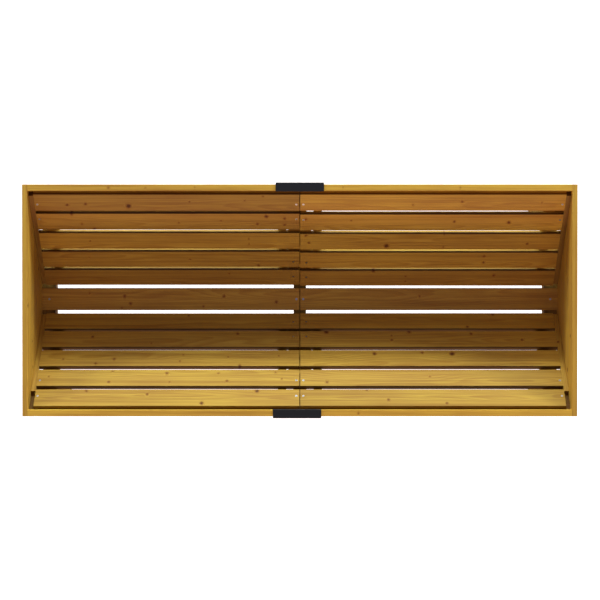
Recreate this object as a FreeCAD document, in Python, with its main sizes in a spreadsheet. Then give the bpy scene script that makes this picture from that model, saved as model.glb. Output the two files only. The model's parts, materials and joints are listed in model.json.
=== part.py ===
import FreeCAD, Part
import math
import os
import Sketcher
from FreeCAD import Placement, Rotation, Vector

# Raised garden trough: a V-shaped slatted planter on six legs, made as a left and a right
# half that meet over the middle legs. X runs along the trough, Y across it and Z up; the
# origin is on the ground under the centre. Lengths are in millimetres, angles in degrees.
DRIVING_SIZES = {
    "overall_length": 1800,
    "frame_width": 752,
    "rim_height": 800,
    "board_width": 76,
    "edge_round": 1.5,
    "joint_gap": 3,
    "rail_thick": 21,
    "end_board_thick": 17,
    "end_board_gap": 0.6,
    "end_board_margin": 7,
    "wall_slope": 47.5,
    "slat_thick": 16,
    "slat_pitch": 61.4,
    "top_slat_reach": 343.8,
    "top_slat_drop": 20,
    "slat_end_gap": 16,
    "floor_drop": 344,
    "floor_board_thick": 20,
    "leg_thick": 43,
    "leg_width": 87,
    "brace_height": 68,
    "tie_board_thick": 20,
    "batten_thick": 20,
    "batten_low_reach": 56,
    "batten_high_reach": 334,
    "inner_batten_start": 45,
    "inner_batten_width": 28,
    "outer_batten_start": 801,
    "outer_batten_width": 38,
    "cleat_low_reach": 52,
    "back_cleat_reach": 340,
    "front_cleat_reach": 298,
    "foot_cap_wall": 2,
    "foot_cap_base": 4,
    "foot_cap_height": 26,
    "clip_length": 157,
    "clip_top_thick": 3,
    "clip_clearance": 0.3,
    "clip_inner_wall": 1.5,
    "clip_inner_drop": 12,
    "clip_outer_wall": 6,
    "clip_outer_drop": 40,
    "clip_round": 1.6,
    "screw_head": 8,
    "screw_shank": 4,
    "screw_sink": 0.1,
    "hole_play": 0.4,
    "board_screw_length": 32,
    "batten_screw_length": 30,
    "rail_screw_length": 35,
    "brace_screw_length": 130,
    "centre_screw_offset": 11.5,
    "tie_screw_offset": 22,
    "end_screw_offset": 858,
    "rail_screw_low": 9,
    "rail_screw_high": 24,
    "end_screw_inset": 15,
    "brace_screw_low": 20,
    "brace_screw_high": 48,
}

# How far each slat's screws stand below its upper edge, counting from the rim downward.
SLAT_SCREW_DROPS = {1: 46, 2: 26, 4: 50, 5: 33}
# How far the slats below the top one sit down the slope from even spacing.
SLAT_SLIPS = {
    ("back", "left"): {2: -2, 3: -1, 4: -2, 5: -2},
    ("back", "right"): {2: 2, 3: 3, 4: 3, 5: 2},
    ("front", "left"): {3: 1, 4: 1, 5: -2},
    ("front", "right"): {3: 1, 4: 1, 5: -1},
}
# How far each rim clip is slid along its rail from the middle.
CLIP_SLIDES = {"back": 0, "front": 9}
SLATS_PER_WALL = 5
LOWER_END_BOARDS = 4
# The cross recess of a screw: the reach of its arms and half their width, as shares of the
# head's radius. Each screw of a set is turned a step further than the one before it.
RECESS_REACH = 0.55
RECESS_HALF_WIDTH = 0.12
SCREW_TURN = 37
QUARTER_TURN = 90
# Edges this closely in line with a direction count as running along it.
ALIGNED = 0.999
# Two heights this close, in millimetres, count as one.
SAME_HEIGHT = 0.01
# A foot cap with its socket cut keeps less than this share of the full block.
SOCKETED_SHARE = 0.6

doc = FreeCAD.newDocument("RaisedTrough")
sheet = doc.addObject("Spreadsheet::Sheet", "Sizes")
for row, (alias, number) in enumerate(DRIVING_SIZES.items(), 1):
    sheet.set(f"B{row}", str(number))
    sheet.setAlias(f"B{row}", alias)
doc.recompute()

parts = []


def size(alias):
    """Number held by one cell of the sheet."""
    return float(getattr(sheet, alias))


# Expressions that several sub-parts share.
SLOPE = "Sizes.wall_slope * 1deg"
END_FACE = "(Sizes.overall_length / 2 - Sizes.end_board_thick)"
SLAT_LENGTH = f"({END_FACE} - Sizes.slat_end_gap - Sizes.joint_gap / 2)"
RAIL_LENGTH = f"({END_FACE} - Sizes.joint_gap / 2)"
LEG_OUTER = "(Sizes.frame_width / 2 - Sizes.rail_thick)"
LEG_INNER = f"({LEG_OUTER} - Sizes.leg_width)"
BRACE_TOP = "(Sizes.rim_height - Sizes.floor_drop - Sizes.floor_board_thick)"


def underside(reach):
    """Expression for the height of the slats' underside at a distance from the middle."""
    return (
        f"(Sizes.rim_height - Sizes.top_slat_drop - Sizes.slat_thick / cos({SLOPE})"
        f" - (Sizes.top_slat_reach - ({reach})) * tan({SLOPE}))"
    )


def underside_reach(height):
    """Expression for the distance from the middle of the slats' underside at a height."""
    return (
        f"(Sizes.top_slat_reach - (Sizes.rim_height - Sizes.top_slat_drop"
        f" - Sizes.slat_thick / cos({SLOPE}) - ({height})) / tan({SLOPE}))"
    )


# The same places as numbers, for placements.
angle = math.radians(size("wall_slope"))
up_slope = Vector(0, math.cos(angle), math.sin(angle))
into_trough = Vector(0, -math.sin(angle), math.cos(angle))
end_face = size("overall_length") / 2 - size("end_board_thick")
leg_outer = size("frame_width") / 2 - size("rail_thick")
leg_inner = leg_outer - size("leg_width")
floor_top = size("rim_height") - size("floor_drop")
brace_top = floor_top - size("floor_board_thick")
half_joint = size("joint_gap") / 2
slat_length = end_face - size("slat_end_gap") - half_joint
slat_spacing = size("slat_pitch") / math.cos(angle)
top_corner = Vector(0, size("top_slat_reach"), size("rim_height") - size("top_slat_drop"))
leg_centres = (-end_face + size("leg_thick") / 2, 0.0, end_face - size("leg_thick") / 2)
lower_board_pitch = size("board_width") + size("end_board_gap")
lower_boards_top = size("rim_height") - lower_board_pitch


def underside_point(reach):
    """Point of the back wall's underside plane at a distance from the middle, at x = 0."""
    foot = top_corner - into_trough * size("slat_thick")
    return foot + up_slope * ((reach - foot.y) / math.cos(angle))


HALF_TURN = Placement(Vector(0, 0, 0), Rotation(Vector(0, 0, 1), 180))
SIDES = {"back": Placement(), "front": HALF_TURN}
OTHER_HAND = {"left": "right", "right": "left"}


def world_hand(side, hand):
    """Left or right of a piece that is drawn on the back and turned to a side."""
    return hand if side == "back" else OTHER_HAND[hand]


def place(part, side, position, x_axis, y_axis):
    """Put a piece by its origin and two axes on the back, then turn it to its side."""
    z_axis = x_axis.cross(y_axis)
    part.Placement = SIDES[side] * Placement(position, Rotation(x_axis, y_axis, z_axis, "XYZ"))


X = Vector(1, 0, 0)
Y = Vector(0, 1, 0)
Z = Vector(0, 0, 1)


# --- PartDesign building blocks -------------------------------------------------------------


def new_body(name):
    body = doc.addObject("PartDesign::Body", name)
    body.Label = name
    return body


def new_sketch(body, role, offset=None):
    """Sketch on one of the body's own origin planes, moved along its normal."""
    plane = next(item for item in body.Origin.OriginFeatures if item.Role == role)
    sketch = body.newObject("Sketcher::SketchObject", body.Name + "_sketch")
    sketch.AttachmentSupport = (plane, [""])
    sketch.MapMode = "FlatFace"
    if offset:
        sketch.setExpression(".AttachmentOffset.Base.z", offset)
    return sketch


def fix_distance(sketch, kind, geometry, point, expression):
    """Tie one coordinate of a sketch point to an expression."""
    index = sketch.addConstraint(Sketcher.Constraint(kind, -1, 1, geometry, point, 10.0))
    sketch.renameConstraint(index, f"{kind}_{geometry}_{point}")
    sketch.setExpression(f"Constraints.{kind}_{geometry}_{point}", expression)


def close_outline(sketch, corners):
    for index, corner in enumerate(corners):
        sketch.addGeometry(Part.LineSegment(corner, corners[(index + 1) % len(corners)]), False)
    for index in range(len(corners)):
        following = (index + 1) % len(corners)
        sketch.addConstraint(Sketcher.Constraint("Coincident", index, 2, following, 1))


def rectangle(body, role, width, height):
    """Rectangle with a corner on the origin."""
    sketch = new_sketch(body, role)
    close_outline(sketch, [Vector(0, 0, 0), Vector(20, 0, 0), Vector(20, 20, 0), Vector(0, 20, 0)])
    sketch.addConstraint(Sketcher.Constraint("Coincident", 0, 1, -1, 1))
    for line, kind in enumerate(("Horizontal", "Vertical", "Horizontal", "Vertical")):
        sketch.addConstraint(Sketcher.Constraint(kind, line))
    fix_distance(sketch, "DistanceX", 2, 1, width)
    fix_distance(sketch, "DistanceY", 2, 1, height)
    return sketch


def polygon(body, role, corners):
    """Closed outline whose corners are pairs of expressions."""
    sketch = new_sketch(body, role)
    turns = [2 * math.pi * index / len(corners) for index in range(len(corners))]
    close_outline(sketch, [Vector(30 * math.cos(t), 30 * math.sin(t), 0) for t in turns])
    for index, (across, height) in enumerate(corners):
        fix_distance(sketch, "DistanceX", index, 1, across)
        fix_distance(sketch, "DistanceY", index, 1, height)
    return sketch


def pad(body, sketch, length):
    feature = body.newObject("PartDesign::Pad", body.Name + "_pad")
    feature.Profile = sketch
    feature.setExpression("Length", length)
    doc.recompute()
    return feature


def round_edges(body, feature, direction, radius="Sizes.edge_round"):
    """Round the straight edges of a feature that run along a direction."""
    names = [
        f"Edge{number}"
        for number, edge in enumerate(feature.Shape.Edges, 1)
        if abs(edge.tangentAt(edge.FirstParameter).dot(direction)) > ALIGNED
    ]
    fillet = body.newObject("PartDesign::Fillet", body.Name + "_rounding")
    fillet.Base = (feature, names)
    fillet.setExpression("Radius", radius)
    doc.recompute()
    return fillet


def drill(body, role, face, centres, reverse=False):
    """Countersunk clearance holes, centred on pairs of expressions on the face's plane."""
    before = body.Shape.Volume
    sketch = new_sketch(body, role, face)
    for index, (along, across) in enumerate(centres):
        start = Vector(10 * (index + 1), 10, 0)
        sketch.addGeometry(Part.Circle(start, Vector(0, 0, 1), 1.0), False)
        fix_distance(sketch, "DistanceX", index, 3, along)
        fix_distance(sketch, "DistanceY", index, 3, across)
    doc.recompute()
    hole = body.newObject("PartDesign::Hole", body.Name + "_holes")
    hole.Profile = sketch
    doc.recompute()
    hole.Threaded = False
    hole.DepthType = "ThroughAll"
    hole.setExpression("Diameter", "Sizes.screw_shank + Sizes.hole_play")
    hole.HoleCutType = "Countersink"
    hole.HoleCutCustomValues = True
    hole.setExpression("HoleCutDiameter", "Sizes.screw_head + Sizes.hole_play")
    hole.HoleCutCountersinkAngle = 90.0
    hole.Reversed = reverse
    doc.recompute()
    if not body.Shape.Volume < before:
        raise RuntimeError(f"the holes of {body.Label} cut nothing")


def board(name, width, thick, length, holes=()):
    """Plank along X, its width along Y and thickness along Z, drilled from its +Z face."""
    body = new_body(name)
    plank = pad(body, rectangle(body, "YZ_Plane", width, thick), length)
    round_edges(body, plank, X)
    if holes:
        drill(body, "XY_Plane", thick, holes)
    return body


def keep(part):
    """Count an object as a sub-part, to be checked and written out."""
    parts.append(part)
    return part


def group(name, members):
    """Several equal pieces as one sub-part."""
    compound = doc.addObject("Part::Compound", name)
    compound.Label = name
    compound.Links = members
    doc.recompute()
    return keep(compound)


# --- Walls and floor ------------------------------------------------------------------------


def slat_holes(number, hand):
    """Centres of a wall slat's screw holes: over the middle frame and over the end leg."""
    if number not in SLAT_SCREW_DROPS:
        return []
    across = f"Sizes.board_width - {SLAT_SCREW_DROPS[number]}"
    if number <= 2:
        offsets = ["Sizes.centre_screw_offset", "Sizes.end_screw_offset"]
    else:
        offsets = ["Sizes.tie_screw_offset"]
    from_joint = [f"({offset} - Sizes.joint_gap / 2)" for offset in offsets]
    if hand == "left":
        from_joint = [f"({SLAT_LENGTH} - {distance})" for distance in from_joint]
    return [(along, across) for along in from_joint]


def slat_corner(number, slip=0):
    """Upper inner corner, at x = 0, of a back wall's slat moved down the slope by a slip."""
    return top_corner - up_slope * (slat_spacing * (number - 1) + slip)


def slat_slip(side, hand, number):
    """Slip of a wall slat that is drawn on the back and turned to its side."""
    return SLAT_SLIPS[side, world_hand(side, hand)].get(number, 0)


def make_wall(side):
    for hand in ("left", "right"):
        start = half_joint if hand == "right" else -half_joint - slat_length
        for number in range(1, SLATS_PER_WALL + 1):
            name = f"{side}_{world_hand(side, hand)}_slat_{number}"
            holes = slat_holes(number, hand)
            slat = board(name, "Sizes.board_width", "Sizes.slat_thick", SLAT_LENGTH, holes)
            slip = slat_slip(side, hand, number)
            corner = slat_corner(number, slip) - up_slope * size("board_width")
            corner = corner - into_trough * size("slat_thick") + X * start
            place(keep(slat), side, corner, X, up_slope)


def make_floor():
    for hand in ("left", "right"):
        from_joint = [
            f"({offset} - Sizes.joint_gap / 2)"
            for offset in ("Sizes.centre_screw_offset", "Sizes.end_screw_offset")
        ]
        if hand == "left":
            from_joint = [f"({RAIL_LENGTH} - {distance})" for distance in from_joint]
        holes = [(along, "Sizes.board_width / 2") for along in from_joint]
        plank = board(
            f"floor_board_{hand}", "Sizes.board_width", "Sizes.floor_board_thick", RAIL_LENGTH, holes
        )
        start = half_joint if hand == "right" else -end_face
        place(keep(plank), "back", Vector(start, -size("board_width") / 2, brace_top), X, Y)


# --- Rim ------------------------------------------------------------------------------------


def make_rails(side):
    """Rim rails, drilled from outside for the screws into the end and middle legs."""
    to_end = "Sizes.leg_thick / 2"
    to_joint = f"({RAIL_LENGTH} - Sizes.centre_screw_offset + Sizes.joint_gap / 2)"
    for hand in ("left", "right"):
        rows = ("Sizes.rail_screw_low", "Sizes.rail_screw_high")
        if hand == "right":
            holes = [(along, row) for along in (to_end, to_joint) for row in rows]
            start = end_face
        else:
            near = "Sizes.centre_screw_offset - Sizes.joint_gap / 2"
            far = f"({RAIL_LENGTH} - {to_end})"
            holes = [(along, row) for along in (near, far) for row in rows]
            start = -half_joint
        name = f"{side}_{world_hand(side, hand)}_rail"
        rail = board(name, "Sizes.board_width", "Sizes.rail_thick", RAIL_LENGTH, holes)
        low = size("rim_height") - size("board_width")
        place(keep(rail), side, Vector(start, leg_outer, low), -X, Z)


def end_board(name, low, high, half_low, half_high, holes):
    """Board across an end; its outline is drawn one frame width away from the sketch's origin."""
    middle = "Sizes.frame_width"
    body = new_body(name)
    outline = [
        (f"{middle} - {half_low}", low),
        (f"{middle} + {half_low}", low),
        (f"{middle} + {half_high}", high),
        (f"{middle} - {half_high}", high),
    ]
    panel = pad(body, polygon(body, "YZ_Plane", outline), "Sizes.end_board_thick")
    round_edges(body, panel, Y)
    centres = [(f"{middle} + ({across})", height) for across, height in holes]
    drill(body, "YZ_Plane", "Sizes.end_board_thick", centres)
    return body


def top_end_board_screws():
    """Places across an end of the screws into the rails' ends and the legs."""
    low = "(Sizes.rim_height - Sizes.board_width + Sizes.end_screw_inset)"
    high = "(Sizes.rim_height - Sizes.end_screw_inset)"
    rail = f"({LEG_OUTER} + Sizes.rail_thick / 2)"
    leg = f"({LEG_OUTER} - Sizes.rail_thick)"
    right_half = [(rail, low), (rail, high), (leg, low)]
    return right_half + [(f"-{across}", height) for across, height in right_half]


def lower_end_board_screw(middle_height):
    """Distance from the middle, at a height, of the line along the middle of the end cleats."""
    return f"({underside_reach(middle_height)} - Sizes.slat_thick / sin({SLOPE}) / 2)"


def make_end_boards():
    low = "(Sizes.rim_height - Sizes.board_width)"
    half = "(Sizes.frame_width / 2)"
    for hand in ("left", "right"):
        side = "back" if hand == "right" else "front"
        origin = Vector(end_face, -size("frame_width"), 0)
        top = end_board(
            f"{hand}_end_board_1", low, "Sizes.rim_height", half, half, top_end_board_screws()
        )
        place(keep(top), side, origin, X, Y)
        for step in range(1, LOWER_END_BOARDS + 1):
            high = f"(Sizes.rim_height - {step} * (Sizes.board_width + Sizes.end_board_gap))"
            low_edge = f"({high} - Sizes.board_width)"
            middle = f"({high} - Sizes.board_width / 2)"
            across = lower_end_board_screw(middle)
            lower = end_board(
                f"{hand}_end_board_{step + 1}",
                low_edge,
                high,
                f"({underside_reach(low_edge)} + Sizes.end_board_margin)",
                f"({underside_reach(high)} + Sizes.end_board_margin)",
                [(across, middle), (f"-{across}", middle)],
            )
            place(keep(lower), side, origin, X, Y)


def make_end_cleats():
    """Strips on the end boards that close the walls' ends, in the plane of the slats."""
    for side in SIDES:
        length = f"((Sizes.{side}_cleat_reach - Sizes.cleat_low_reach) / cos({SLOPE}))"
        for hand in ("left", "right"):
            name = f"{side}_{world_hand(side, hand)}_end_cleat"
            cleat = board(name, "Sizes.slat_end_gap", "Sizes.slat_thick", length)
            reach = size("top_slat_reach") - size("cleat_low_reach")
            foot = top_corner - up_slope * (reach / math.cos(angle))
            foot = foot - into_trough * size("slat_thick")
            start = end_face if hand == "right" else -end_face + size("slat_end_gap")
            place(keep(cleat), side, foot + X * start, up_slope, -X)


# --- Frame under the trough -----------------------------------------------------------------


def make_legs(side):
    """Legs whose tops are cut to the walls' slope, drilled for the screws into the braces."""
    foot = "Sizes.foot_cap_base"
    outline = [
        (LEG_INNER, foot),
        (LEG_OUTER, foot),
        (LEG_OUTER, underside(LEG_OUTER)),
        (LEG_INNER, underside(LEG_INNER)),
    ]
    heights = [f"({BRACE_TOP} - Sizes.{row})" for row in ("brace_screw_low", "brace_screw_high")]
    for place_name, centre in zip(("left", "middle", "right"), leg_centres):
        if place_name != "middle":
            place_name = world_hand(side, place_name)
        body = new_body(f"{side}_{place_name}_leg")
        leg = pad(body, polygon(body, "YZ_Plane", outline), "Sizes.leg_thick")
        round_edges(body, leg, Z)
        centres = [("Sizes.leg_thick / 2", height) for height in heights]
        drill(body, "XZ_Plane", f"-{LEG_OUTER}", centres, reverse=True)
        place(keep(body), side, X * (centre - size("leg_thick") / 2), X, Y)


def make_braces():
    length = f"2 * {LEG_INNER}"
    for name, centre in zip(("left", "middle", "right"), leg_centres):
        brace = board(f"{name}_cross_brace", "Sizes.leg_thick", "Sizes.brace_height", length)
        corner = Vector(
            centre + size("leg_thick") / 2, -leg_inner, brace_top - size("brace_height")
        )
        place(keep(brace), "back", corner, Y, -X)


def make_tie_boards():
    """Boards under the joint of the two halves, from the middle legs down to the brace."""
    drop = f"(Sizes.tie_board_thick / cos({SLOPE}))"
    foot_inner = underside_reach(BRACE_TOP)
    foot_outer = f"({foot_inner} + {drop} / tan({SLOPE}))"
    outline = [
        (foot_inner, BRACE_TOP),
        (foot_outer, BRACE_TOP),
        (LEG_INNER, f"{underside(LEG_INNER)} - {drop}"),
        (LEG_INNER, underside(LEG_INNER)),
    ]
    for side in SIDES:
        body = new_body(f"{side}_tie_board")
        tie = pad(body, polygon(body, "YZ_Plane", outline), "Sizes.board_width")
        place(keep(body), side, X * (-size("board_width") / 2), X, Y)


BATTEN_LENGTH = f"((Sizes.batten_high_reach - Sizes.batten_low_reach) / cos({SLOPE}))"


def batten_screw_distances():
    """Expressions for how far up a batten each slat's middle is."""
    foot = (
        f"(Sizes.top_slat_reach - Sizes.batten_low_reach + Sizes.slat_thick * sin({SLOPE}))"
        f" / cos({SLOPE}) - Sizes.board_width / 2"
    )
    return [f"{foot} - {step} * Sizes.slat_pitch / cos({SLOPE})" for step in range(SLATS_PER_WALL)]


def make_battens(name, start, width):
    """Battens under the slats of all four wall panels, drilled from below."""
    members = []
    holes = [(along, f"Sizes.{width} / 2") for along in batten_screw_distances()]
    for side in SIDES:
        for hand in ("left", "right"):
            batten = board(
                f"{name}_{side}_{hand}", f"Sizes.{width}", "Sizes.batten_thick", BATTEN_LENGTH, holes
            )
            near = size(start) if hand == "right" else -size(start) - size(width)
            corner = underside_point(size("batten_low_reach")) + X * near
            place(batten, side, corner, up_slope, X)
            members.append(batten)
    group(name, members)


# --- Plastic parts --------------------------------------------------------------------------


def make_foot_caps():
    members = []
    wall = "Sizes.foot_cap_wall"
    for side in SIDES:
        for index, centre in enumerate(leg_centres):
            body = new_body(f"foot_cap_{side}_{index}")
            outer = rectangle(
                body, "XY_Plane", f"Sizes.leg_thick + 2 * {wall}", f"Sizes.leg_width + 2 * {wall}"
            )
            block = pad(body, outer, "Sizes.foot_cap_height")
            round_edges(body, block, Z)
            before = body.Shape.Volume
            inner = new_sketch(body, "XY_Plane", "Sizes.foot_cap_height")
            close_outline(
                inner, [Vector(5, 5, 0), Vector(25, 5, 0), Vector(25, 25, 0), Vector(5, 25, 0)]
            )
            for line, kind in enumerate(("Horizontal", "Vertical", "Horizontal", "Vertical")):
                inner.addConstraint(Sketcher.Constraint(kind, line))
            fix_distance(inner, "DistanceX", 0, 1, wall)
            fix_distance(inner, "DistanceY", 0, 1, wall)
            fix_distance(inner, "DistanceX", 2, 1, f"Sizes.leg_thick + {wall}")
            fix_distance(inner, "DistanceY", 2, 1, f"Sizes.leg_width + {wall}")
            pocket = body.newObject("PartDesign::Pocket", body.Name + "_socket")
            pocket.Profile = inner
            pocket.setExpression("Length", "Sizes.foot_cap_height - Sizes.foot_cap_base")
            doc.recompute()
            if not body.Shape.Volume < SOCKETED_SHARE * before:
                raise RuntimeError("a foot cap's socket cut nothing")
            corner = Vector(
                centre - size("leg_thick") / 2 - size("foot_cap_wall"),
                leg_inner - size("foot_cap_wall"),
                0,
            )
            place(body, side, corner, X, Y)
            members.append(body)
    group("foot_caps", members)


def make_rail_clips():
    """Channel clips pushed over the rails where the two halves meet."""
    gap = "Sizes.clip_clearance"
    rail_outer = "Sizes.frame_width / 2"
    inner = f"({LEG_OUTER} - {gap} - Sizes.clip_inner_wall)"
    outer = f"({rail_outer} + {gap} + Sizes.clip_outer_wall)"
    plate_low = f"(Sizes.rim_height + {gap})"
    plate_high = f"({plate_low} + Sizes.clip_top_thick)"
    outline = [
        (inner, f"{plate_low} - Sizes.clip_inner_drop"),
        (f"{LEG_OUTER} - {gap}", f"{plate_low} - Sizes.clip_inner_drop"),
        (f"{LEG_OUTER} - {gap}", plate_low),
        (f"{rail_outer} + {gap}", plate_low),
        (f"{rail_outer} + {gap}", f"{plate_low} - Sizes.clip_outer_drop"),
        (outer, f"{plate_low} - Sizes.clip_outer_drop"),
        (outer, plate_high),
        (inner, plate_high),
    ]
    for side in SIDES:
        body = new_body(f"{side}_rail_clip")
        clip = pad(body, polygon(body, "YZ_Plane", outline), "Sizes.clip_length")
        top = max(vertex.Z for vertex in clip.Shape.Vertexes)
        names = [
            f"Edge{number}"
            for number, edge in enumerate(clip.Shape.Edges, 1)
            if min(vertex.Z for vertex in edge.Vertexes) > top - SAME_HEIGHT
        ]
        fillet = body.newObject("PartDesign::Fillet", body.Name + "_rounding")
        fillet.Base = (clip, names)
        fillet.setExpression("Radius", "Sizes.clip_round")
        doc.recompute()
        start = CLIP_SLIDES[side] - size("clip_length") / 2
        place(keep(body), side, X * start, X, Y)


# --- Screws ---------------------------------------------------------------------------------


def make_screw(length):
    """Countersunk cross-head wood screw, its head's face at the origin and its point down."""
    head = size("screw_head") / 2
    shank = size("screw_shank") / 2
    neck = shank - head
    profile = [
        Vector(0, 0, 0),
        Vector(head, 0, 0),
        Vector(shank, 0, neck),
        Vector(shank, 0, head - length),
        Vector(0, 0, -length),
    ]
    outline = Part.makePolygon(profile + profile[:1])
    solid = Part.Face(outline).revolve(Vector(0, 0, 0), Vector(0, 0, 1), 360)
    arm = RECESS_REACH * head
    slot = RECESS_HALF_WIDTH * head
    cross = Part.makeBox(2 * arm, 2 * slot, -neck, Vector(-arm, -slot, neck))
    other = Part.makeBox(2 * slot, 2 * arm, -neck, Vector(-slot, -arm, neck))
    return solid.cut(cross.fuse(other))


def screw_set(name, length_alias, seats):
    """One sub-part of equal screws; each seat is its side, surface point and outward direction."""
    screw = make_screw(size(length_alias))
    copies = []
    for number, (side, point, outward) in enumerate(seats):
        sunk = point - outward * size("screw_sink")
        copy = screw.copy()
        spin = Rotation(Z, (SCREW_TURN * number) % QUARTER_TURN)
        copy.Placement = SIDES[side] * Placement(sunk, Rotation(Z, outward) * spin)
        copies.append(copy)
    feature = doc.addObject("Part::Feature", name)
    feature.Label = name
    feature.Shape = Part.makeCompound(copies)
    return feature


def board_screw_seats():
    seats = []
    for side in SIDES:
        for number, drop in SLAT_SCREW_DROPS.items():
            offsets = ["centre_screw_offset", "end_screw_offset"]
            if number > 2:
                offsets = ["tie_screw_offset"]
            for sign, hand in ((-1, "left"), (1, "right")):
                corner = slat_corner(number, slat_slip(side, hand, number))
                for offset in offsets:
                    seat = corner - up_slope * drop + X * sign * size(offset)
                    seats.append((side, seat, into_trough))
    for offset in ("centre_screw_offset", "end_screw_offset"):
        for sign in (-1, 1):
            seats.append(("back", Vector(sign * size(offset), 0, floor_top), Z))
    return seats


def batten_screw_seats():
    seats = []
    starts = [
        size("inner_batten_start") + size("inner_batten_width") / 2,
        size("outer_batten_start") + size("outer_batten_width") / 2,
    ]
    depth = size("slat_thick") + size("batten_thick")
    for side in SIDES:
        for number in range(1, SLATS_PER_WALL + 1):
            middle = slat_corner(number) - up_slope * (size("board_width") / 2)
            for centre in starts:
                for sign in (-1, 1):
                    point = middle - into_trough * depth + X * sign * centre
                    seats.append((side, point, -into_trough))
    return seats


def rail_screw_seats():
    seats = []
    base = size("rim_height") - size("board_width")
    outer = size("frame_width") / 2
    places = (size("centre_screw_offset"), end_face - size("leg_thick") / 2)
    for side in SIDES:
        for row in ("rail_screw_low", "rail_screw_high"):
            for along in places:
                for sign in (-1, 1):
                    seats.append((side, Vector(sign * along, outer, base + size(row)), Y))
    return seats


def end_screw_seats():
    """Screws through the end boards, as drawn on the right end and turned to the left."""
    seats = []
    outside = size("overall_length") / 2
    rim = size("rim_height")
    low = rim - size("board_width") + size("end_screw_inset")
    rail = leg_outer + size("rail_thick") / 2
    top_row = [
        (rail, low),
        (rail, rim - size("end_screw_inset")),
        (leg_outer - size("rail_thick"), low),
    ]
    rows = []
    for step in range(1, LOWER_END_BOARDS + 1):
        middle = rim - step * lower_board_pitch - size("board_width") / 2
        drop = top_corner.z - size("slat_thick") / math.cos(angle) - middle
        reach = size("top_slat_reach") - drop / math.tan(angle)
        rows.append((reach - size("slat_thick") / math.sin(angle) / 2, middle))
    for side in SIDES:
        for across, height in top_row + rows:
            for sign in (-1, 1):
                seats.append((side, Vector(outside, sign * across, height), X))
    return seats


def brace_screw_seats():
    seats = []
    for side in SIDES:
        for centre in leg_centres:
            for row in ("brace_screw_low", "brace_screw_high"):
                seats.append((side, Vector(centre, leg_outer, brace_top - size(row)), Y))
    return seats


# --- Assembly -------------------------------------------------------------------------------

for wall_side in SIDES:
    make_wall(wall_side)
    make_rails(wall_side)
    make_legs(wall_side)
make_floor()
make_end_boards()
make_end_cleats()
make_braces()
make_tie_boards()
make_battens("inner_battens", "inner_batten_start", "inner_batten_width")
make_battens("outer_battens", "outer_batten_start", "outer_batten_width")
make_foot_caps()
make_rail_clips()
board_seats = board_screw_seats() + end_screw_seats()
keep(screw_set("board_screws", "board_screw_length", board_seats))
keep(screw_set("batten_screws", "batten_screw_length", batten_screw_seats()))
keep(screw_set("rail_screws", "rail_screw_length", rail_screw_seats()))
keep(screw_set("brace_screws", "brace_screw_length", brace_screw_seats()))

doc.recompute()
for item in doc.Objects:
    if "Invalid" in item.State or "Error" in item.State:
        raise RuntimeError(f"{item.Label} did not recompute: {item.State}")
for item in parts:
    if item.Shape.isNull() or not item.Shape.isValid():
        raise RuntimeError(f"{item.Label} has no valid shape")

os.makedirs("parts", exist_ok=True)
for item in parts:
    item.Shape.exportStep(f"parts/{item.Label}.step")
print(len(parts), "sub-parts written")
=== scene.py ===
import json
import math
import random

import bpy
from mathutils import Matrix, Vector


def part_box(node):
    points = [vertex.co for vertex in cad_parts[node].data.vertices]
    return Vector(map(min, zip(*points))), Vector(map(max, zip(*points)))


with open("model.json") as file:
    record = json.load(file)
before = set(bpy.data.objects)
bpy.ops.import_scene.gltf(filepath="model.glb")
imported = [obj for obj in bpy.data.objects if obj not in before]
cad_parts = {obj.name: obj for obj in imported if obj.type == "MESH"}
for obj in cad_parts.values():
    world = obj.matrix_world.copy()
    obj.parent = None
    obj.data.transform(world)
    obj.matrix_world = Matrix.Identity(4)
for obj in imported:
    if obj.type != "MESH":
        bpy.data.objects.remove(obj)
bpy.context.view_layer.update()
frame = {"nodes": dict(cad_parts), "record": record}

# Lengths are in metres.
SLOPE = math.radians(47.5)
RIM_HEIGHT = 0.8
BOARD_WIDTH = 0.076


# --- Small helpers for node trees -------------------------------------------------------------


def new_node(tree, kind, **settings):
    """Node of a tree with its settings; the key 'inputs' holds socket values or links."""
    inputs = settings.pop("inputs", {})
    node = tree.nodes.new(kind)
    for key, value in settings.items():
        setattr(node, key, value)
    for key, value in inputs.items():
        if isinstance(value, bpy.types.NodeSocket):
            tree.links.new(value, node.inputs[key])
        else:
            node.inputs[key].default_value = value
    return node


def maths(tree, operation, *values):
    """Math node on up to three numbers or sockets."""
    node = new_node(tree, "ShaderNodeMath", operation=operation, inputs=dict(enumerate(values)))
    return node.outputs[0]


def vector_maths(tree, operation, *values):
    node = new_node(tree, "ShaderNodeVectorMath", operation=operation)
    for index, value in enumerate(values):
        socket = node.inputs["Scale"] if operation == "SCALE" and index == 1 else node.inputs[index]
        if isinstance(value, bpy.types.NodeSocket):
            tree.links.new(value, socket)
        else:
            socket.default_value = value
    return node.outputs["Value"] if operation in ("DISTANCE", "LENGTH") else node.outputs[0]


def noise(tree, vector, scale, detail=2.0, roughness=0.5, output="Fac"):
    inputs = {"Vector": vector, "Scale": scale, "Detail": detail, "Roughness": roughness}
    return new_node(tree, "ShaderNodeTexNoise", inputs=inputs).outputs[output]


def remap(tree, value, low, high, new_low=0.0, new_high=1.0, smooth=True):
    """Number that runs from new_low to new_high while a value runs from low to high."""
    kind = "SMOOTHSTEP" if smooth else "LINEAR"
    values = {0: value, 1: low, 2: high, 3: new_low, 4: new_high}
    node = new_node(tree, "ShaderNodeMapRange", interpolation_type=kind, inputs=values)
    return node.outputs[0]


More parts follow.
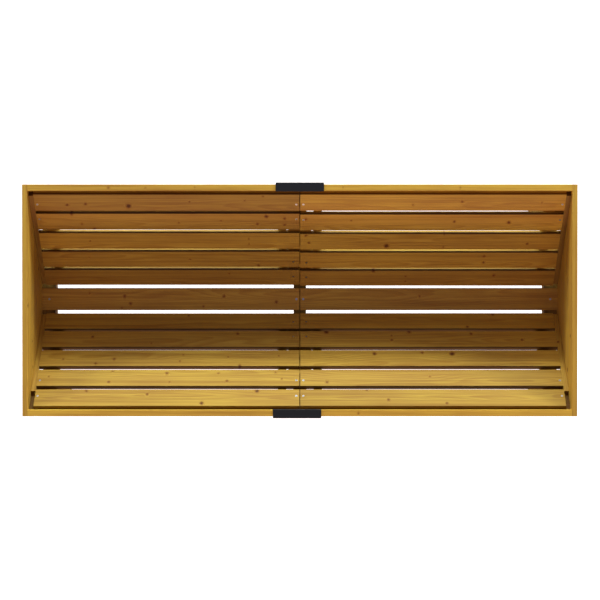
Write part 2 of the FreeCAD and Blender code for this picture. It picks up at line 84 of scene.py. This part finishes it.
def blend(tree, factor, first, second, mode="MIX"):
    node = new_node(tree, "ShaderNodeMix", data_type="RGBA", blend_type=mode)
    sockets = (node.inputs[0], node.inputs[6], node.inputs[7])
    for socket, value in zip(sockets, (factor, first, second)):
        if isinstance(value, bpy.types.NodeSocket):
            tree.links.new(value, socket)
        else:
            socket.default_value = value
    return node.outputs[2]


def rgb(red, green, blue):
    """Linear colour from the 0 to 255 numbers of a display colour."""
    channels = []
    for channel in (red, green, blue):
        value = channel / 255
        channels.append(value / 12.92 if value <= 0.04045 else ((value + 0.055) / 1.055) ** 2.4)
    return (*channels, 1.0)


# --- Stained softwood -------------------------------------------------------------------------

EARLY_WOOD = rgb(216, 180, 76)
LATE_WOOD = rgb(190, 146, 56)
FIBRE_SHADE = rgb(156, 108, 42)
KNOT_WOOD = rgb(92, 56, 22)
KNOT_HALO = rgb(160, 104, 40)
# What the colour is multiplied by: painted shade on the sawn long edges of slats and floor boards, and
# the darker stain of end grain.
PAINTED_EDGE_SHADE = (0.3, 0.26, 0.24, 1.0)
END_SHADE = (0.36, 0.3, 0.28, 1.0)

# How finely each noise varies: per metre along the grain, across it and through the board.
# The fine ones have more detail than the ones that move the rings.
PITH_WAVES = (1.1, 6.0, 6.0)
RING_WAVES = (3.0, 40.0, 40.0)
FIBRE_WAVES = (9.0, 620.0, 620.0)
STREAK_WAVES = (1.6, 95.0, 95.0)
BLOTCH_WAVES = (3.0, 9.0, 9.0)
RING_DETAIL = 2.0
RING_ROUGHNESS = 0.5
FINE_DETAIL = 3.0
FINE_ROUGHNESS = 0.6
BLOTCH_ROUGHNESS = 0.55

# The pith stands below the board's middle. From board to board it swings in depth and to the
# side, and along the board it wanders by up to half of PITH_WANDER.
PITH_DEPTH = -0.05
PITH_DEPTH_SWING = 0.02
PITH_SIDE_SWING = 0.022
PITH_WANDER = (0.0, 0.075, 0.05)
DEPTH_TURN = 2.3
SIDE_TURN = 5.1
# Each unit of a board's seed moves its noises by this much.
SEED_STEPS = (1.0, 0.73, 1.37)

RINGS_PER_METRE = 320.0
# How many rings the noise shifts the count by, and how far a knot pushes the rings out.
RING_UNEVENNESS = 1.6
KNOT_SWIRL = 0.009

# Ranges for remap: a value's low and high end, then the numbers that they turn into.
LATE_RISE = (0.15, 0.86)
LATE_FALL = (1.0, 0.88)
STREAK_RANGE = (0.4, 0.72, 0.0, 0.5)
FIBRE_RANGE = (0.5, 0.8, 0.0, 0.4)
HUE_RANGE = (0.3, 0.7, 0.494, 0.507)
VALUE_RANGE = (0.25, 0.75, 0.86, 1.12)
HALO_RANGE = (0.15, 0.7, 0.0, 0.7)
KNOT_RANGE = (0.5, 0.95, 0.0, 0.9)
ROUGHNESS_RANGE = (0.4, 1.5, 0.62, 0.42)

# How much late wood colours a ring, and what each pattern adds to the height of the relief.
LATE_SHARE = 0.65
LATE_HEIGHT = 0.6
FIBRE_HEIGHT = 0.8
STREAK_HEIGHT = 0.4


def waves(tree, place, fineness, detail=FINE_DETAIL, roughness=FINE_ROUGHNESS, output="Fac"):
    """Noise stretched along the grain."""
    stretched = vector_maths(tree, "MULTIPLY", place, fineness)
    return noise(tree, stretched, 1.0, detail, roughness, output)


def seed_swing(tree, seed, turn, reach):
    """Number between minus and plus a reach, another one for every seed."""
    return maths(tree, "MULTIPLY", maths(tree, "SINE", maths(tree, "MULTIPLY", seed, turn)), reach)


def ring_phase(tree, place, moved, seed, knots):
    """Count of growth rings from the pith.

    The pith wanders slowly along the board, so the rings meet the face at changing angles.
    """
    slow = waves(tree, moved, PITH_WAVES, RING_DETAIL, RING_ROUGHNESS, "Color")
    slow = vector_maths(tree, "SUBTRACT", slow, (0.5, 0.5, 0.5))
    wander = vector_maths(tree, "MULTIPLY", slow, PITH_WANDER)
    depth = maths(tree, "ADD", seed_swing(tree, seed, DEPTH_TURN, PITH_DEPTH_SWING), PITH_DEPTH)
    side = seed_swing(tree, seed, SIDE_TURN, PITH_SIDE_SWING)
    pith = new_node(tree, "ShaderNodeCombineXYZ", inputs={"X": 0.0, "Y": side, "Z": depth}).outputs[0]
    across = vector_maths(tree, "MULTIPLY", place, (0.0, 1.0, 1.0))
    from_pith = vector_maths(tree, "ADD", vector_maths(tree, "SUBTRACT", across, pith), wander)
    swirl = maths(tree, "MULTIPLY", knots, KNOT_SWIRL)
    radius = maths(tree, "ADD", vector_maths(tree, "LENGTH", from_pith), swirl)
    shift = waves(tree, moved, RING_WAVES, RING_DETAIL, RING_ROUGHNESS)
    shift = maths(tree, "MULTIPLY", shift, RING_UNEVENNESS)
    return maths(tree, "ADD", maths(tree, "MULTIPLY", radius, RINGS_PER_METRE), shift)


def make_wood_group():
    """Growth rings, fibres and knots in a board's own space: X along the grain, metres."""
    tree = bpy.data.node_groups.new("stained_softwood", "ShaderNodeTree")
    inputs = {"Vector": "NodeSocketVector", "Seed": "NodeSocketFloat", "Knots": "NodeSocketFloat"}
    outputs = {"Color": "NodeSocketColor", "Height": "NodeSocketFloat", "Roughness": "NodeSocketFloat"}
    for in_out, sockets in (("INPUT", inputs), ("OUTPUT", outputs)):
        for name, kind in sockets.items():
            tree.interface.new_socket(name=name, in_out=in_out, socket_type=kind)
    source = tree.nodes.new("NodeGroupInput")
    place, seed, knots = (source.outputs[name] for name in inputs)
    moved = vector_maths(tree, "ADD", place, vector_maths(tree, "MULTIPLY", seed, SEED_STEPS))

    ring = maths(tree, "FRACT", ring_phase(tree, place, moved, seed, knots))
    late = maths(tree, "MULTIPLY", remap(tree, ring, *LATE_RISE), remap(tree, ring, *LATE_FALL))
    fibres = waves(tree, moved, FIBRE_WAVES)
    streaks = waves(tree, moved, STREAK_WAVES)
    blotches = waves(tree, moved, BLOTCH_WAVES, roughness=BLOTCH_ROUGHNESS)

    colour = blend(tree, maths(tree, "MULTIPLY", late, LATE_SHARE), EARLY_WOOD, LATE_WOOD)
    colour = blend(tree, remap(tree, streaks, *STREAK_RANGE), colour, FIBRE_SHADE)
    colour = blend(tree, remap(tree, fibres, *FIBRE_RANGE), colour, FIBRE_SHADE)
    tint = {
        "Hue": remap(tree, blotches, *HUE_RANGE, smooth=False),
        "Saturation": 1.0,
        "Value": remap(tree, blotches, *VALUE_RANGE, smooth=False),
        "Color": colour,
    }
    colour = new_node(tree, "ShaderNodeHueSaturation", inputs=tint).outputs[0]
    colour = blend(tree, remap(tree, knots, *HALO_RANGE), colour, KNOT_HALO)
    colour = blend(tree, remap(tree, knots, *KNOT_RANGE), colour, KNOT_WOOD)

    height = maths(tree, "MULTIPLY", late, LATE_HEIGHT)
    for pattern, share in ((fibres, FIBRE_HEIGHT), (streaks, STREAK_HEIGHT)):
        height = maths(tree, "ADD", height, maths(tree, "MULTIPLY", pattern, share))
    roughness = remap(tree, maths(tree, "ADD", fibres, late), *ROUGHNESS_RANGE, smooth=False)

    sink = new_node(tree, "NodeGroupOutput")
    tree.links.new(colour, sink.inputs["Color"])
    tree.links.new(height, sink.inputs["Height"])
    tree.links.new(roughness, sink.inputs["Roughness"])
    return tree


WOOD_GROUP = make_wood_group()

# A knot's outline is made uneven by a noise of this fineness, by up to half of this length.
KNOT_WAVES = 140.0
KNOT_UNEVENNESS = 0.006
# Knots are slightly longer across the board than along it, and fade out over this many radii.
KNOT_WIDENING = 0.9
KNOT_FADE = 3.0
# How strong a knot is: this much, and so much more for each metre of its radius.
KNOT_FAINTEST = 0.35
KNOT_GAIN = 110

# How closely a face has to look along the grain to count as end grain: from not at all to fully.
END_GRAIN_RANGE = (0.5, 0.66)
# How far in from the board's side the painted shade on its sawn edge begins, and where it is full.
PAINTED_SHADE_START = 0.0012
PAINTED_SHADE_FULL = 0.0002
# On the back wall the painted shade on the edges fades in between these two heights above the slat's
# middle; it stands for the shadow of the next slat up the wall, and the rest of each edge is left lit.
BACK_EDGE_SHADOW_RANGE = (-0.003, 0.0005)
WOOD_SPECULAR = 0.2
BUMP_STRENGTH = 0.35
BUMP_DISTANCE = 0.0006


def knot_field(tree, local, knots, through):
    """Soft uneven spots, 1 in the middle; each is its place along, across and radius, in metres.

    A knot runs through a thin board, but on a rail's edge it is a short spot (through = 1).
    Small knots are also fainter.
    """
    uneven = noise(tree, local, KNOT_WAVES, output="Color")
    uneven = vector_maths(tree, "SUBTRACT", uneven, (0.5, 0.5, 0.5))
    place = vector_maths(tree, "ADD", local, vector_maths(tree, "SCALE", uneven, KNOT_UNEVENNESS))
    place = vector_maths(tree, "MULTIPLY", place, (1.0, KNOT_WIDENING, through))
    total = None
    for along, across, radius in knots:
        gap = vector_maths(tree, "DISTANCE", place, (along, KNOT_WIDENING * across, 0.0))
        strength = min(1.0, KNOT_FAINTEST + KNOT_GAIN * radius)
        spot = remap(tree, gap, 0.0, radius * KNOT_FADE, strength, 0.0)
        total = spot if total is None else maths(tree, "MAXIMUM", total, spot)
    return total if total is not None else 0.0


def darken(tree, factor, colour, shade):
    """Colour multiplied by a shade where the factor is 1."""
    return blend(tree, factor, colour, blend(tree, 1.0, colour, shade, "MULTIPLY"))


def painted_edge_shade_mask(tree, name, local):
    """1 on the long edges of a board, where painted shade goes.

    On the back wall it is 1 only on the part of each edge next to the face: there the painted shade
    stands for the shadow of the next slat up the wall, and the rest of the edge is left lit.
    """
    parts = new_node(tree, "ShaderNodeSeparateXYZ", inputs={0: local}).outputs
    from_middle = maths(tree, "ABSOLUTE", parts["Y"])
    half = BOARD_WIDTH / 2
    edge = remap(tree, from_middle, half - PAINTED_SHADE_START, half - PAINTED_SHADE_FULL)
    if name.startswith("back"):
        edge = maths(tree, "MULTIPLY", edge, remap(tree, parts["Z"], *BACK_EDGE_SHADOW_RANGE))
    return edge


def wood_material(name, centre, grain, width, seed, tone, knots, fold=False):
    """Wood whose grain follows the board: its middle, its grain and its width directions.

    End grain is darker, as stain soaks into it. The sawn edges of the slats and floor boards get
    painted shade, which deepens the shade between the boards that the lights alone leave too light.
    """
    material = bpy.data.materials.new(name)
    material.use_nodes = True
    tree = material.node_tree
    shader = tree.nodes["Principled BSDF"]
    place = tree.nodes.new("ShaderNodeTexCoord").outputs["Object"]
    if fold:
        parts = new_node(tree, "ShaderNodeSeparateXYZ", inputs={0: place}).outputs
        mirrored = {"X": parts["X"], "Y": maths(tree, "ABSOLUTE", parts["Y"]), "Z": parts["Z"]}
        place = new_node(tree, "ShaderNodeCombineXYZ", inputs=mirrored).outputs[0]
    axes = Matrix((grain, width, grain.cross(width))).transposed()
    local = new_node(
        tree,
        "ShaderNodeMapping",
        vector_type="TEXTURE",
        inputs={"Vector": place, "Location": centre, "Rotation": axes.to_euler()},
    ).outputs[0]
    through = float("rail" in name)
    knot_spots = knot_field(tree, local, knots, through)
    group = new_node(
        tree,
        "ShaderNodeGroup",
        node_tree=WOOD_GROUP,
        inputs={"Vector": local, "Seed": seed, "Knots": knot_spots},
    )
    # The board's tone, which is partly painted light and shade, multiplies the wood's colour.
    stain_with_painted_light = blend(tree, 1.0, group.outputs["Color"], tone, "MULTIPLY")
    normal = new_node(tree, "ShaderNodeNewGeometry").outputs["True Normal"]
    facing = new_node(
        tree, "ShaderNodeVectorMath", operation="DOT_PRODUCT", inputs={0: normal, 1: grain}
    ).outputs["Value"]
    end_grain = remap(tree, maths(tree, "ABSOLUTE", facing), *END_GRAIN_RANGE)
    stain_with_painted_light = darken(tree, end_grain, stain_with_painted_light, END_SHADE)
    # Painted shade on the sawn long edges of the slats and floor boards.
    if "slat" in name or "floor" in name:
        stain_with_painted_light = darken(tree, painted_edge_shade_mask(tree, name, local), stain_with_painted_light, PAINTED_EDGE_SHADE)
    tree.links.new(stain_with_painted_light, shader.inputs["Base Color"])
    tree.links.new(group.outputs["Roughness"], shader.inputs["Roughness"])
    shader.inputs["Specular IOR Level"].default_value = WOOD_SPECULAR
    relief = {
        "Strength": BUMP_STRENGTH, "Distance": BUMP_DISTANCE, "Height": group.outputs["Height"]
    }
    bump = new_node(tree, "ShaderNodeBump", inputs=relief)
    tree.links.new(bump.outputs[0], shader.inputs["Normal"])
    return material


# --- Boards -----------------------------------------------------------------------------------

X = Vector((1, 0, 0))
Y = Vector((0, 1, 0))
Z = Vector((0, 0, 1))
UP_SLOPE = {
    "back": Vector((0, math.cos(SLOPE), math.sin(SLOPE))),
    "front": Vector((0, -math.cos(SLOPE), math.sin(SLOPE))),
}

# Tone of each board, 1.0 being the usual one; a darker board is redder too. The tones are partly the
# boards' own and partly painted light and shade: the rails and the upper end boards are lightened as
# painted light, the lowest back slats and the floor boards are darkened as painted shade deep in the
# trough, and the back cleats and the outer braces are toned down as painted shade that the lights
# leave out.
BOARD_TONE_AND_PAINTED_LIGHT = {
    "back_left_rail": 1.25,
    "back_left_slat_1": 0.75,
    "back_left_slat_2": 0.95,
    "back_left_slat_3": 1.14,
    "back_left_slat_4": 0.92,
    "back_left_slat_5": 0.72,
    "back_right_rail": 1.35,
    "back_right_slat_1": 1.13,
    "back_right_slat_2": 1.2,
    "back_right_slat_3": 1.12,
    "back_right_slat_4": 1.08,
    "back_right_slat_5": 0.82,
    "front_left_rail": 1.4,
    "front_left_slat_1": 0.97,
    "front_left_slat_2": 0.96,
    "front_left_slat_3": 1.05,
    "front_left_slat_4": 0.93,
    "front_left_slat_5": 0.97,
    "front_right_rail": 1.5,
    "front_right_slat_1": 0.9,
    "front_right_slat_2": 0.92,
    "front_right_slat_3": 1.1,
    "front_right_slat_4": 1.05,
    "front_right_slat_5": 1.1,
    "floor_board_left": 0.9,
    "floor_board_right": 0.84,
    "left_end_board_1": 1.2,
    "left_end_board_2": 1.1,
    "right_end_board_1": 1.22,
    "right_end_board_2": 1.12,
    "back_left_end_cleat": 0.55,
    "back_right_end_cleat": 0.55,
    "left_cross_brace": 0.5,
    "right_cross_brace": 0.5,
}
# The tones of the other boards lie between these two.
OTHER_TONES = (0.95, 1.05)
# Powers of a board's tone that its red, green and blue are multiplied by.
TONE_POWERS = (1.0, 1.1, 0.7)

# Knots of the boards that face up: place along X, place across the board and radius, in metres.
KNOTS = {
    "back_left_slat_1": [
        (-0.76, -0.01, 0.004), (-0.7, -0.005, 0.004), (-0.56, -0.015, 0.006), (-0.36, 0.005, 0.003),
        (-0.18, 0.01, 0.003), (-0.12, 0.03, 0.003),
    ],
    "back_left_slat_2": [
        (-0.75, 0.035, 0.004), (-0.72, -0.01, 0.003), (-0.68, -0.035, 0.005), (-0.4, -0.005, 0.003),
        (-0.26, 0.005, 0.003), (-0.14, -0.01, 0.004), (-0.11, 0.025, 0.005), (-0.05, 0.015, 0.004),
        (-0.05, -0.015, 0.004),
    ],
    "back_left_slat_3": [(-0.7, 0, 0.003), (-0.17, 0.01, 0.003), (-0.17, -0.015, 0.003)],
    "back_left_slat_4": [(-0.71, 0.01, 0.002), (-0.37, 0, 0.003), (-0.14, -0.03, 0.004)],
    "back_left_slat_5": [(-0.24, 0.02, 0.003)],
    "floor_board_left": [
        (-0.72, 0.02, 0.003), (-0.6, 0.01, 0.004), (-0.58, -0.015, 0.004), (-0.61, -0.03, 0.003),
        (-0.33, -0.025, 0.003), (-0.26, 0.01, 0.004), (-0.08, -0.01, 0.004),
    ],
    "back_left_rail": [(-0.62, 0.035, 0.004), (-0.5, 0.035, 0.003), (-0.34, 0.035, 0.003)],
    "back_right_rail": [(0.14, 0.035, 0.003), (0.52, 0.035, 0.003)],
    "back_right_slat_1": [(0.37, -0.01, 0.003), (0.53, 0.005, 0.004), (0.79, 0, 0.003)],
    "back_right_slat_2": [
        (0.02, 0.015, 0.004), (0.17, 0.01, 0.003), (0.51, 0.005, 0.004), (0.69, 0, 0.005),
    ],
    "back_right_slat_3": [
        (0.02, 0.03, 0.004), (0.03, -0.005, 0.004), (0.29, -0.02, 0.006), (0.48, 0.035, 0.003),
        (0.48, -0.025, 0.003), (0.76, -0.01, 0.004),
    ],
    "back_right_slat_4": [(0.62, 0.02, 0.004), (0.62, -0.01, 0.004)],
    "back_right_slat_5": [
        (0.25, 0.035, 0.004), (0.36, 0.01, 0.003), (0.36, -0.015, 0.003), (0.66, 0.015, 0.004),
    ],
    "floor_board_right": [(0.41, 0.01, 0.003)],
    "front_left_slat_5": [(-0.38, -0.025, 0.003)],
    "front_left_slat_4": [(-0.7, -0.01, 0.004), (-0.5, 0.02, 0.003), (-0.21, -0.025, 0.004)],
    "front_left_slat_3": [
        (-0.79, 0.005, 0.003), (-0.68, 0.025, 0.004), (-0.62, 0.005, 0.004), (-0.4, 0.015, 0.003),
        (-0.39, -0.015, 0.003), (-0.24, -0.005, 0.003), (-0.2, 0.035, 0.004), (-0.07, -0.01, 0.003),
    ],
    "front_left_slat_2": [
        (-0.83, -0.005, 0.003), (-0.63, 0.02, 0.004), (-0.62, -0.03, 0.003), (-0.44, -0.02, 0.004),
        (-0.43, 0.02, 0.003), (-0.27, -0.02, 0.003), (-0.24, 0.015, 0.004), (-0.08, -0.025, 0.003),
        (-0.06, 0.005, 0.003),
    ],
    "front_left_slat_1": [
        (-0.7, -0.03, 0.004), (-0.5, -0.015, 0.004), (-0.32, 0.025, 0.005), (-0.14, -0.03, 0.005),
    ],
    "front_right_slat_5": [(0.57, 0.03, 0.004), (0.66, -0.03, 0.004)],
    "front_right_slat_4": [
        (0.09, -0.035, 0.006), (0.31, 0.005, 0.004), (0.31, -0.015, 0.003), (0.37, -0.035, 0.005),
        (0.58, -0.025, 0.004), (0.75, 0.005, 0.004),
    ],
    "front_right_slat_3": [(0.25, -0.02, 0.005), (0.41, -0.025, 0.004), (0.51, -0.02, 0.006)],
    "front_right_slat_2": [(0.09, 0.02, 0.004), (0.43, -0.005, 0.003)],
    "front_right_slat_1": [(0.22, -0.035, 0.004), (0.29, 0.01, 0.004), (0.48, 0.025, 0.004)],
    "front_right_rail": [(0.19, 0.035, 0.004)],
}


def board_axes(name):
    """Grain and width directions of a wooden node."""
    side = name.split("_")[0]
    if "slat" in name:
        return X, UP_SLOPE[side]
    if "cleat" in name:
        return UP_SLOPE[side], X
    if "rail" in name:
        return X, Z
    if "floor" in name:
        return X, Y
    if "end_board" in name:
        return Y, Z
    if "leg" in name:
        return Z, Y
    if "brace" in name:
        return Y, Z
    if "tie" in name:
        return UP_SLOPE[side], X
    return UP_SLOPE["back"], X


# Half the length from which a board counts as long, and how many knots a board may get.
LONG_BOARD = 0.3
LONG_BOARD_KNOTS = (1, 2, 2, 3)
SHORT_BOARD_KNOTS = (0, 1)
KNOT_REACH_ALONG = 0.95
KNOT_REACH_ACROSS = 0.024
KNOT_RADII = (0.003, 0.0065)


def random_knots(dice, half_length):
    counts = LONG_BOARD_KNOTS if half_length > LONG_BOARD else SHORT_BOARD_KNOTS
    return [
        (
            dice.uniform(-KNOT_REACH_ALONG, KNOT_REACH_ALONG) * half_length,
            dice.uniform(-KNOT_REACH_ACROSS, KNOT_REACH_ACROSS),
            dice.uniform(*KNOT_RADII),
        )
        for _ in range(dice.choice(counts))
    ]


FIRST_SEED = 4100
WOOD_SEEDS = (1, 60)
# Battens of both walls share one material, folded over the trough's middle; its middle is here.
BATTEN_MIDDLE = 0.2


def dress_boards():
    wooden = {
        entry["node"] for entry in frame["record"]["subparts"] if entry["material_slot"] == "wood"
    }
    for index, name in enumerate(sorted(wooden)):
        dice = random.Random(FIRST_SEED + index)
        low, high = (Vector(corner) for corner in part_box(name))
        centre = (low + high) / 2
        grain, width = board_axes(name)
        fold = "battens" in name
        if fold:
            centre.y = BATTEN_MIDDLE
        half_length = (high - low).dot(Vector(abs(c) for c in grain)) / 2
        knots = random_knots(dice, half_length)
        if name in KNOTS:
            knots = [(along - centre.x, across, radius) for along, across, radius in KNOTS[name]]
        shade = BOARD_TONE_AND_PAINTED_LIGHT.get(name, dice.uniform(*OTHER_TONES))
        tone = (*(shade**power for power in TONE_POWERS), 1.0)
        seed = dice.uniform(*WOOD_SEEDS)
        material = wood_material(name + "_wood", centre, grain, width, seed, tone, knots, fold)
        node = frame["nodes"][name]
        node.data.materials.clear()
        node.data.materials.append(material)


PLASTIC_COLOUR = rgb(26, 34, 38)
PLASTIC_ROUGHNESS = 0.45
ZINC_COLOUR = rgb(200, 205, 210)
ZINC_ROUGHNESS = 0.3


def plain_material(name, colour, roughness, metallic=0.0):
    material = bpy.data.materials.new(name)
    material.use_nodes = True
    shader = material.node_tree.nodes["Principled BSDF"]
    shader.inputs["Base Color"].default_value = colour
    shader.inputs["Roughness"].default_value = roughness
    shader.inputs["Metallic"].default_value = metallic
    return material


def dress_hardware():
    plastic = plain_material("black_plastic", PLASTIC_COLOUR, PLASTIC_ROUGHNESS)
    zinc = plain_material("zinc_plate", ZINC_COLOUR, ZINC_ROUGHNESS, metallic=1.0)
    for entry in frame["record"]["subparts"]:
        if entry["material_slot"] == "wood":
            continue
        node = frame["nodes"][entry["node"]]
        node.data.materials.clear()
        node.data.materials.append(zinc if entry["material_slot"] == "zinc" else plastic)


dress_boards()
dress_hardware()


# --- Camera, floor and light --------------------------------------------------------------------


def aim(thing, target):
    direction = Vector(target) - thing.location
    thing.rotation_euler = direction.to_track_quat("-Z", "Y").to_euler()


# The camera stands this far above the rim and behind the middle, and looks almost straight down.
CAMERA_HEIGHT = 6.0
CAMERA_OFFSET = 0.08
# A last small move to the side and back centres the picture.
CAMERA_SIDE = 0.0006
CAMERA_BACK = 0.0015
LENS = 111.1
SENSOR_WIDTH = 36.0


def make_camera():
    data = bpy.data.cameras.new("camera")
    data.lens = LENS
    data.sensor_width = SENSOR_WIDTH
    data.clip_end = 100.0
    camera = bpy.data.objects.new("camera", data)
    camera.location = (CAMERA_SIDE, CAMERA_OFFSET + CAMERA_BACK, RIM_HEIGHT + CAMERA_HEIGHT)
    camera.rotation_euler = (-math.atan(CAMERA_OFFSET / CAMERA_HEIGHT), 0.0, 0.0)
    bpy.context.collection.objects.link(camera)
    bpy.context.scene.camera = camera


FLOOR_SIZE = 60
FLOOR_COLOUR = (0.85, 0.85, 0.85, 1)
FLOOR_ROUGHNESS = 0.9
FLOOR_GLOW = 0.95


def make_floor():
    """Pale floor that glows a little and sends no light back onto the wood."""
    bpy.ops.mesh.primitive_plane_add(size=FLOOR_SIZE)
    floor = bpy.context.object
    floor.name = "floor"
    material = bpy.data.materials.new("pale_floor")
    material.use_nodes = True
    shader = material.node_tree.nodes["Principled BSDF"]
    shader.inputs["Base Color"].default_value = FLOOR_COLOUR
    shader.inputs["Roughness"].default_value = FLOOR_ROUGHNESS
    shader.inputs["Emission Color"].default_value = (1, 1, 1, 1)
    shader.inputs["Emission Strength"].default_value = FLOOR_GLOW
    floor.data.materials.append(material)
    floor.visible_diffuse = False
    floor.visible_glossy = False


WORLD_COLOUR = (0.95, 0.78, 1.0, 1)
WORLD_STRENGTH = 0.2
WARM_FILL = (1.0, 0.51, 0.45)
LIGHT_TARGET = (0, 0, 0.7)
# Area lights: place with its height above the rim, width and height, power and colour.
LIGHTS = {
    "key": ((0.0, 4.6, 1.15), (4.0, 0.6), 160.0, (0.95, 1.0, 0.93)),
    "left_key": ((-3.4, 3.4, 1.2), (2.0, 0.7), 62.0, (1, 1, 1)),
    "right_key": ((3.4, 3.4, 1.2), (2.0, 0.7), 98.0, (1, 1, 1)),
    "rim_fill": ((0.0, -4.8, 0.42), (4.0, 0.3), 22.0, (1.0, 0.95, 0.6)),
    "low_fill": ((0.0, -4.6, 0.8), (4.0, 0.4), 56.0, WARM_FILL),
    "high_fill": ((0.0, -3.5, 3.5), (4.0, 0.8), 38.0, WARM_FILL),
}


def make_lights():
    for name, ((x, y, above_rim), (width, height), power, colour) in LIGHTS.items():
        data = bpy.data.lights.new(name, "AREA")
        data.shape = "RECTANGLE"
        data.size = width
        data.size_y = height
        data.energy = power
        data.color = colour
        light = bpy.data.objects.new(name, data)
        light.location = (x, y, RIM_HEIGHT + above_rim)
        aim(light, LIGHT_TARGET)
        bpy.context.collection.objects.link(light)
    world = bpy.data.worlds.new("world")
    world.use_nodes = True
    background = world.node_tree.nodes["Background"]
    background.inputs["Color"].default_value = WORLD_COLOUR
    background.inputs["Strength"].default_value = WORLD_STRENGTH
    bpy.context.scene.world = world


make_camera()
make_floor()
make_lights()
bpy.context.scene.view_settings.view_transform = "Standard"
